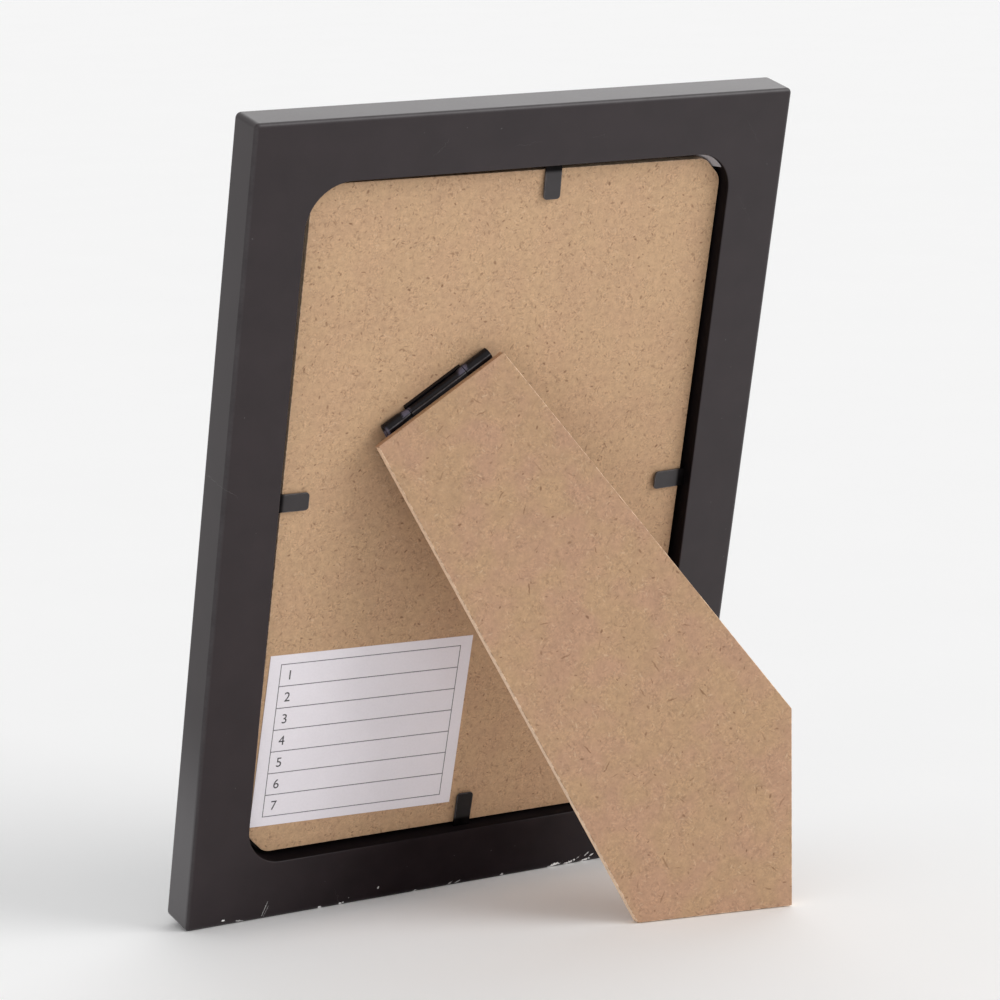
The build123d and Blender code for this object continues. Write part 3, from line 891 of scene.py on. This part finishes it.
class EASEL_OT_add_ring(bpy.types.Operator):
    """Adds the black frame ring"""

    bl_idname = "easel.add_ring"
    bl_label = "Frame Ring"

    def execute(self, context):
        sizes = context.scene.easel_sizes
        low, high = node_box("frame", FRAME_AXES)
        floor, _ = rebate_box()
        rebate = floor.x - low.x
        sight = rebate + sizes.sight_lip
        bevel_level = low.z + sizes.front_bevel
        bm = bmesh.new()
        back_outer = self.loop(bm, low, high, 0.0, sizes.corner_radius, high.z)
        bevel_start = self.loop(bm, low, high, 0.0, sizes.corner_radius, bevel_level)
        front_outer = self.loop(bm, low, high, sizes.front_bevel, sizes.corner_radius, low.z)
        sight_front = self.loop(bm, low, high, sight, sizes.sight_radius, low.z)
        sight_back = self.loop(bm, low, high, sight, sizes.sight_radius, floor.z)
        rebate_floor = self.loop(bm, low, high, rebate, sizes.rebate_radius, floor.z, sizes.odd_radius)
        back_opening = self.loop(bm, low, high, rebate, sizes.rebate_radius, high.z, sizes.odd_radius)
        loops = (
            back_outer, bevel_start, front_outer, sight_front,
            sight_back, rebate_floor, back_opening, back_outer,
        )
        for first, second in zip(loops, loops[1:]):
            self.bridge(bm, first, second)
        soften(bm, back_outer, sizes.back_arris, 5)
        soften(bm, back_opening, sizes.opening_arris, 3)
        soften(bm, sight_front, sizes.sight_bevel, 3)
        soften(bm, bevel_start + front_outer, sizes.bevel_arris, 3)
        paint = make_frame_paint(context.scene.easel_colours)
        finish_piece("frame_ring", bm, FRAME_AXES, paint, "frame", ["frame"])
        return {"FINISHED"}

    @staticmethod
    def bridge(bm, first, second):
        """Faces between two loops, held apart meanwhile because loops on one level would twist."""
        apart = Vector((0, 0, 0.1))
        verts = list({vert for edge in second for vert in edge.verts})
        bmesh.ops.translate(bm, verts=verts, vec=apart)
        bmesh.ops.bridge_loops(bm, edges=first + second)
        bmesh.ops.translate(bm, verts=verts, vec=-apart)

    @staticmethod
    def loop(bm, low, high, inset, radius, level, top_left_radius=None):
        """Edges of a rounded rectangle round the ring's middle."""
        face = flat_face(bm, box_corners(low, high, inset), level)
        *corners, top_left = face.verts
        round_corners(bm, corners, radius, 16)
        round_corners(bm, [top_left], top_left_radius or radius, 16)
        face = only_face(bm)
        edges = face.edges[:]
        bmesh.ops.delete(bm, geom=[face], context="FACES_ONLY")
        return edges


class EASEL_OT_add_glazing(bpy.types.Operator):
    """Adds the glass pane and the paper insert behind it"""

    bl_idname = "easel.add_glazing"
    bl_label = "Glass and Insert"

    def execute(self, context):
        sizes, colours = context.scene.easel_sizes, context.scene.easel_colours
        self.add_pane(sizes, colours)
        self.add_insert(sizes, colours)
        return {"FINISHED"}

    @staticmethod
    def add_pane(sizes, colours):
        """Glass with rounded corners."""
        low, high = node_box("glass", FRAME_AXES)
        bm = bmesh.new()
        face = flat_face(bm, box_corners(low, high), low.z)
        round_corners(bm, face.verts[:], sizes.rebate_radius - (low.x - rebate_box()[0].x), 12)
        thicken(bm, only_face(bm), high.z - low.z)
        soften(bm, sharp_edges(bm), sizes.pane_arris, 2)
        finish_piece("glass_pane", bm, FRAME_AXES, make_glass(colours), "frame", ["glass"])

    def add_insert(self, sizes, colours):
        """Paper sheet with its top right corner turned up beside the backboard's cut corner."""
        low, high = node_box("picture_insert", FRAME_AXES)
        bm = bmesh.new()
        face = flat_face(bm, box_corners(low, high), low.z)
        corner = sizes.rebate_radius - (low.x - rebate_box()[0].x)
        round_corners(bm, face.verts[:], corner, 12)
        thicken(bm, only_face(bm), high.z - low.z)
        self.turn_up_ear(bm, sizes, high.z)
        paper = make_insert_paper(low, high, corner, sizes, colours)
        finish_piece("insert_sheet", bm, FRAME_AXES, paper, "frame", ["picture_insert"])

    @staticmethod
    def turn_up_ear(bm, sizes, level):
        """Thin strip of the sheet that leans on the rebate's rounded corner."""
        _, rebate = rebate_box()
        centre = Vector((rebate.x - sizes.rebate_radius, rebate.y - sizes.rebate_radius, level))
        reach = sizes.rebate_radius - sizes.ear_gap
        start = Matrix.Rotation(sizes.ear_start, 3, "Z")
        foot = bm.verts.new(centre + start @ Vector((reach - sizes.ear_lean, 0, 0)))
        tip = bm.verts.new(centre + start @ Vector((reach, 0, sizes.ear_height)))
        edge = bm.edges.new((foot, tip))
        spread = sizes.ear_end - sizes.ear_start
        bmesh.ops.spin(bm, geom=[foot, tip, edge], cent=centre, axis=(0, 0, 1), angle=spread, steps=10)
        strip = [face for face in bm.faces if any(vert.co.z > level + NEAR for vert in face.verts)]
        bmesh.ops.solidify(bm, geom=strip, thickness=sizes.ear_thickness)


def outline_corners(node, axes, level):
    """Corners of a convex node's flat face at a level, in order round it."""
    flat = [point for point in node_points(node, axes) if abs(point.z - level) < NEAR]
    corners = {(round(point.x, 6), round(point.y, 6)) for point in flat}
    middle_x, middle_y = (sum(values) / len(corners) for values in zip(*corners))
    return sorted(corners, key=lambda corner: atan2(corner[1] - middle_y, corner[0] - middle_x))


def add_board(name, node, axes, plain_level, material, arris, body):
    """Flat board with worn edges, from the outline of a node's plain face."""
    low, high = node_box(node, axes)
    bm = bmesh.new()
    face = flat_face(bm, outline_corners(node, axes, plain_level), low.z)
    thicken(bm, face, high.z - low.z)
    soften(bm, sharp_edges(bm, radians(20)), arris, 2)
    finish_piece(name, bm, axes, material, body, [node])


class EASEL_OT_add_backboard(bpy.types.Operator):
    """Adds the fibreboard backboard"""

    bl_idname = "easel.add_backboard"
    bl_label = "Backboard"

    def execute(self, context):
        sizes, colours = context.scene.easel_sizes, context.scene.easel_colours
        low, high = node_box("backboard", FRAME_AXES)
        board = make_fibreboard(
            "backboard fibre", FRAME_AXES, low, high, colours.board, colours,
            shift=(0.0, 0.0, 0.0), speckle=1.0, stroke=1.5, blushing=0.2,
        )
        arris = sizes.board_arris
        add_board("backboard_panel", "backboard", FRAME_AXES, low.z, board, arris, "frame")
        return {"FINISHED"}


class EASEL_OT_add_strut(bpy.types.Operator):
    """Adds the fibreboard strut"""

    bl_idname = "easel.add_strut"
    bl_label = "Strut"

    def execute(self, context):
        sizes, colours = context.scene.easel_sizes, context.scene.easel_colours
        low, high = node_box("strut", STRUT_AXES)
        board = make_fibreboard(
            "strut fibre", STRUT_AXES, low, high, colours.strut, colours,
            shift=(0.031, 0.017, 0.0), speckle=0.5, stroke=2.6, blushing=0.7,
        )
        arris = sizes.board_arris
        add_board("strut_leg", "strut", STRUT_AXES, high.z, board, arris, "strut")
        return {"FINISHED"}


class EASEL_OT_add_label(bpy.types.Operator):
    """Adds the paper label with its ruled rows and their numbers"""

    bl_idname = "easel.add_label"
    bl_label = "Label"

    def execute(self, context):
        sizes, colours = context.scene.easel_sizes, context.scene.easel_colours
        low, high = node_box("label", LABEL_AXES)
        bm = bmesh.new()
        face = flat_face(bm, box_corners(low, high), low.z)
        thicken(bm, face, high.z - low.z)
        paper = make_label_paper(sizes, colours)
        finish_piece("label_sheet", bm, LABEL_AXES, paper, "frame", ["label"])
        self.add_numbers(sizes, colours, high.z)
        return {"FINISHED"}

    @staticmethod
    def add_numbers(sizes, colours, level):
        """Row numbers down the form's left side, as thin print."""
        lift = 0.01 * MILLIMETRE
        left = sizes.number_margin - sizes.form_width / 2
        top = sizes.row_height * sizes.row_count / 2
        bm = bmesh.new()
        for row in range(sizes.row_count):
            text = bpy.data.curves.new("row number", "FONT")
            text.body = str(row + 1)
            text.size = sizes.number_height
            text.extrude = lift
            writing = bpy.data.objects.new("row number", text)
            printed = writing.to_mesh()
            base = top - (row + 0.5) * sizes.row_height - 0.35 * sizes.number_height
            printed.transform(Matrix.Translation((left, base, level + lift)))
            bm.from_mesh(printed)
            writing.to_mesh_clear()
            bpy.data.objects.remove(writing)
        bm.transform(LABEL_AXES)
        piece = make_object("label_numbers", bm, make_ink(colours))
        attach(piece, "frame")


class EASEL_OT_add_hinge(bpy.types.Operator):
    """Adds the hinge's two rolled leaves, its pin and the tacks"""

    bl_idname = "easel.add_hinge"
    bl_label = "Hinge"

    def execute(self, context):
        sizes, colours = context.scene.easel_sizes, context.scene.easel_colours
        low, high = node_box("hinge_back_leaf", HINGE_AXES)
        half = high.x
        inner = half - sizes.end_knuckle
        fold = closed_angle()
        still = make_hinge_black("hinge black, back leaf", HINGE_AXES, fold, half, sizes, colours)
        swung = make_hinge_black("hinge black, strut leaf", STRUT_AXES, 0.0, half, sizes, colours)
        bm = self.leaf(sizes, half, low, [(-half, -inner), (inner, half)], low.z, 1.0)
        slope_end = -inner - sizes.shoulder
        self.draw_in(bm, sizes, -low.z, slope_end, -inner, -inner, radians(-115), radians(165))
        soften(bm, sharp_edges(bm), sizes.sheet_arris, 2)
        self.add_slot_rim(bm, sizes, inner, -low.z)
        finish_piece("back_leaf", bm, HINGE_AXES, still, "frame", ["hinge_back_leaf"])

        low, high = node_box("hinge_strut_leaf", STRUT_AXES)
        inner -= sizes.knuckle_gap
        bm = self.leaf(sizes, half, low, [(-inner, inner)], high.z, -1.0)
        slope_end = sizes.recess_end
        self.draw_in(bm, sizes, high.z, slope_end, -inner, slope_end, radians(5), radians(295))
        soften(bm, sharp_edges(bm), sizes.sheet_arris, 2)
        finish_piece("strut_leaf", bm, STRUT_AXES, swung, "strut", ["hinge_strut_leaf"])
        self.add_pin(still)
        steel = make_steel(colours)
        self.add_tacks("back_tacks", "back_leaf_tacks", HINGE_AXES, steel, "frame", sizes)
        self.add_tacks("strut_tacks", "strut_leaf_tacks", STRUT_AXES, steel, "strut", sizes)
        return {"FINISHED"}

    @staticmethod
    def leaf(sizes, half, low, knuckles, face_level, turn):
        """Sheet with necks that roll round the pin, drawn in the hinge's axes."""
        bm = bmesh.new()
        neck_y = -sizes.leaf_neck
        outline = [(-half, low.y), (half, low.y)]
        if knuckles[-1][1] < half:
            outline.append((half, neck_y))
        for start, stop in reversed(knuckles):
            outline += [(stop, neck_y), (stop, 0.0), (start, 0.0), (start, neck_y)]
        if knuckles[0][0] > -half:
            outline.append((-half, neck_y))
        face = flat_face(bm, outline, face_level)
        corners = [vert for vert in face.verts if abs(vert.co.y - low.y) < NEAR]
        round_corners(bm, corners, sizes.leaf_corner, 6)
        thicken(bm, only_face(bm), turn * sizes.sheet_thickness)
        for face in [face for face in bm.faces if abs(face.calc_center_median().y) < NEAR]:
            roll(bm, face, (0, 0, 0), (turn, 0, 0), radians(290), 28)
        return bm

    @staticmethod
    def draw_in(bm, sizes, radius, slope_end, start, stop, from_turn, to_turn):
        """Draws a stretch of a knuckle in towards the pin, with a slope to where it keeps its radius."""
        geometry = bm.verts[:] + bm.edges[:] + bm.faces[:]
        bmesh.ops.bisect_plane(bm, geom=geometry, plane_co=(slope_end, 0, 0), plane_no=(1, 0, 0))
        drawn = []
        for vert in bm.verts:
            turn = atan2(vert.co.y, vert.co.z)
            turn += 2 * pi if turn < from_turn else 0
            on_skin = abs(vert.co.yz.length - radius) < NEAR
            if on_skin and start - NEAR < vert.co.x < stop + NEAR and from_turn < turn < to_turn:
                drawn.append(vert)
        share = 1 - sizes.recess_depth / radius
        bmesh.ops.scale(bm, verts=drawn, vec=(1, share, share))

    @staticmethod
    def add_slot_rim(bm, sizes, inner, radius):
        """Thin rim of the back leaf along the upper side of the middle knuckle."""
        run = 2 * inner
        rim = (radius * 0.88, (run, sizes.slot_rim, radius * 0.55))
        foot = (radius * 0.55, (run, radius * 0.7, sizes.slot_rim / 2))
        for middle, size in (rim, foot):
            place = Matrix.Translation((0, middle, -radius + size[2] / 2)) @ Matrix.Diagonal((*size, 1))
            bmesh.ops.create_cube(bm, size=1, matrix=place)

    @staticmethod
    def add_pin(material):
        """Pin with rounded ends."""
        low, high = node_box("hinge_pin", HINGE_AXES)
        bm = bmesh.new()
        turn = Matrix.Rotation(radians(90), 4, "Y")
        bmesh.ops.create_cone(
            bm, cap_ends=True, segments=32, radius1=high.y, radius2=high.y,
            depth=high.x - low.x, matrix=turn,
        )
        soften(bm, sharp_edges(bm), high.y * 0.4, 4)
        finish_piece("hinge_rod", bm, HINGE_AXES, material, "frame", ["hinge_pin"])

    @staticmethod
    def add_tacks(name, node, axes, material, body, sizes):
        """Tacks with flat heads on the leaf."""
        low, high = node_box(node, axes)
        crown, point = sorted((low.z, high.z), key=abs)
        neck = crown + (sizes.tack_rise if point > crown else -sizes.tack_rise)
        bm = bmesh.new()
        for side in (-1, 1):
            middle = Vector((side * (high.x - sizes.tack_head), (low.y + high.y) / 2, 0))
            for radius, start, stop in ((sizes.tack_head, crown, neck), (sizes.tack_shank, neck, point)):
                place = Matrix.Translation(middle + Vector((0, 0, (start + stop) / 2)))
                bmesh.ops.create_cone(
                    bm, cap_ends=True, segments=24, radius1=radius, radius2=radius,
                    depth=abs(stop - start), matrix=place,
                )
        soften(bm, sharp_edges(bm), sizes.tack_rise / 3, 3)
        finish_piece(name, bm, axes, material, body, [node])


class EASEL_OT_add_tabs(bpy.types.Operator):
    """Adds the four flex tabs, which bend in their own sheet"""

    bl_idname = "easel.add_tabs"
    bl_label = "Flex Tabs"

    def execute(self, context):
        sizes, colours = context.scene.easel_sizes, context.scene.easel_colours
        for side in TAB_SIDES:
            self.add_tab(side, sizes, colours)
        return {"FINISHED"}

    @staticmethod
    def add_tab(side, sizes, colours):
        """Strip from inside the ring to its rounded tip, bent a little upwards."""
        axes = find_tab_axes(side)
        root_low, root_high = node_box(side + "_tab_root", axes)
        _, tip_high = node_box(side + "_tab", axes)
        thickness = root_high.z - root_low.z
        low = Vector((root_low.x, root_low.y, 0))
        high = Vector((tip_high.x, root_high.y, 0))
        bm = bmesh.new()
        face = flat_face(bm, box_corners(low, high), root_low.z)
        tips = [vert for vert in face.verts if vert.co.x > 0]
        round_corners(bm, tips, sizes.tab_tip, 6)
        thicken(bm, only_face(bm), thickness)
        soften(bm, sharp_edges(bm), sizes.tab_arris, 2)
        steps = 8
        for step in range(steps + 1):
            cut = (step / steps - 0.5) * sizes.tab_bend
            bmesh.ops.bisect_plane(
                bm, geom=bm.verts[:] + bm.edges[:] + bm.faces[:], plane_co=(cut, 0, 0), plane_no=(1, 0, 0)
            )
        rise = (tip_high.z - root_high.z) / tip_high.x
        for vert in bm.verts:
            vert.co.z += max(vert.co.x, 0.0) * rise
        # Painted shade: the bottom tab is made darker all over, with a weaker coat.
        tone = 0.45 if side == "bottom" else 1.0
        black = make_tab_black(side + " tab black", axes, tone, colours)
        bm.transform(axes)
        bmesh.ops.recalc_face_normals(bm, faces=bm.faces)
        strip = make_object(side + "_strip", bm, black)
        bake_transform(strip)
        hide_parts(side + "_tab", side + "_tab_root")


class EASEL_OT_add_stage(bpy.types.Operator):
    """Adds the floor, the light and the camera"""

    bl_idname = "easel.add_stage"
    bl_label = "Stage"

    def execute(self, context):
        stage, colours = context.scene.easel_stage, context.scene.easel_colours
        self.add_floor(stage, colours)
        self.add_world(stage)
        self.add_lamp("key", stage.key, stage.key_angle, stage.key_heading)
        self.add_lamp("fill", stage.fill, stage.fill_angle, stage.fill_heading)
        self.add_camera(stage)
        context.scene.view_settings.view_transform = "Standard"
        return {"FINISHED"}

    @staticmethod
    def add_floor(stage, colours):
        """Wide round floor under the frame."""
        bm = bmesh.new()
        bmesh.ops.create_circle(bm, cap_ends=True, segments=96, radius=stage.floor_radius)
        make_object("floor", bm, make_floor_finish(colours))

    @staticmethod
    def add_world(stage):
        """Even room light, and white where the camera, gloss or glass looks past the floor."""
        world = bpy.data.worlds.new("studio")
        world.use_nodes = True
        tree = world.node_tree
        bpy.context.scene.world = world
        background = next(node for node in tree.nodes if node.type == "BACKGROUND")
        rays = add_node(tree, "LightPath").outputs
        seen = maths(tree, "MAXIMUM", rays["Is Camera Ray"], rays["Is Glossy Ray"])
        seen = maths(tree, "MAXIMUM", seen, rays["Is Transmission Ray"])
        strength = add_node(tree, "MapRange", {"Value": seen, "To Min": stage.ambient, "To Max": 1.0})
        feed(tree, background.inputs["Strength"], strength.outputs["Result"])
        background.inputs["Color"].default_value = (1.0, 1.0, 1.0, 1.0)

    @staticmethod
    def add_lamp(name, strength, spread, heading):
        """Broad soft light that shines along a heading."""
        lamp = bpy.data.lights.new(name, "SUN")
        lamp.energy = strength
        lamp.angle = spread
        holder = bpy.data.objects.new(name, lamp)
        holder.rotation_mode = "QUATERNION"
        holder.rotation_quaternion = Vector(heading).to_track_quat("-Z", "Y")
        bpy.context.scene.collection.objects.link(holder)

    @staticmethod
    def add_camera(stage):
        """Camera behind the frame, a little above it and to its left."""
        camera = bpy.data.cameras.new("camera")
        camera.lens = stage.lens
        camera.sensor_width = 36.0
        holder = bpy.data.objects.new("camera", camera)
        turn = Matrix.Rotation(stage.azimuth, 4, "Z") @ Matrix.Rotation(-stage.elevation, 4, "X")
        back = (turn @ Vector((0, -1, 0))).normalized()
        holder.rotation_mode = "QUATERNION"
        level = (-back).to_track_quat("-Z", "Y").to_matrix().to_4x4()
        rolled = level @ Matrix.Rotation(stage.roll, 4, "Z")
        holder.rotation_quaternion = rolled.to_quaternion()
        holder.location = Vector(stage.aim) + back * stage.distance
        bpy.context.scene.collection.objects.link(holder)
        bpy.context.scene.camera = holder


class EASEL_PT_sidebar(bpy.types.Panel):
    """Lists the pieces and their settings"""

    bl_idname = "EASEL_PT_sidebar"
    bl_label = "Easel Back Photo Frame"
    bl_space_type = "VIEW_3D"
    bl_region_type = "UI"
    bl_category = "Easel Frame"

    def draw(self, context):
        for operator in OPERATORS:
            self.layout.operator(operator.bl_idname)
        for group in SETTINGS:
            settings = getattr(context.scene, group)
            column = self.layout.column(align=True)
            for name in settings.bl_rna.properties.keys():
                if name not in ("rna_type", "name"):
                    column.prop(settings, name)


OPERATORS = (
    EASEL_OT_add_ring, EASEL_OT_add_glazing, EASEL_OT_add_backboard, EASEL_OT_add_label,
    EASEL_OT_add_hinge, EASEL_OT_add_strut, EASEL_OT_add_tabs, EASEL_OT_add_stage,
)
SETTINGS = {"easel_sizes": EaselSizes, "easel_colours": EaselColours, "easel_stage": EaselStage}


def register():
    """Makes the settings, the operators and the panel known."""
    for settings in SETTINGS.values():
        bpy.utils.register_class(settings)
    for name, settings in SETTINGS.items():
        setattr(bpy.types.Scene, name, PointerProperty(type=settings))
    for operator in OPERATORS:
        bpy.utils.register_class(operator)
    bpy.utils.register_class(EASEL_PT_sidebar)


def unregister():
    """Takes the panel, the operators and the settings away again."""
    bpy.utils.unregister_class(EASEL_PT_sidebar)
    for operator in reversed(OPERATORS):
        bpy.utils.unregister_class(operator)
    for name, settings in SETTINGS.items():
        delattr(bpy.types.Scene, name)
        bpy.utils.unregister_class(settings)


def main():
    """Builds the frame on its stage, piece by piece."""
    register()
    bpy.ops.easel.add_ring()
    bpy.ops.easel.add_glazing()
    bpy.ops.easel.add_backboard()
    bpy.ops.easel.add_label()
    bpy.ops.easel.add_hinge()
    bpy.ops.easel.add_strut()
    bpy.ops.easel.add_tabs()
    bpy.ops.easel.add_stage()


if __name__ == "__main__":
    main()
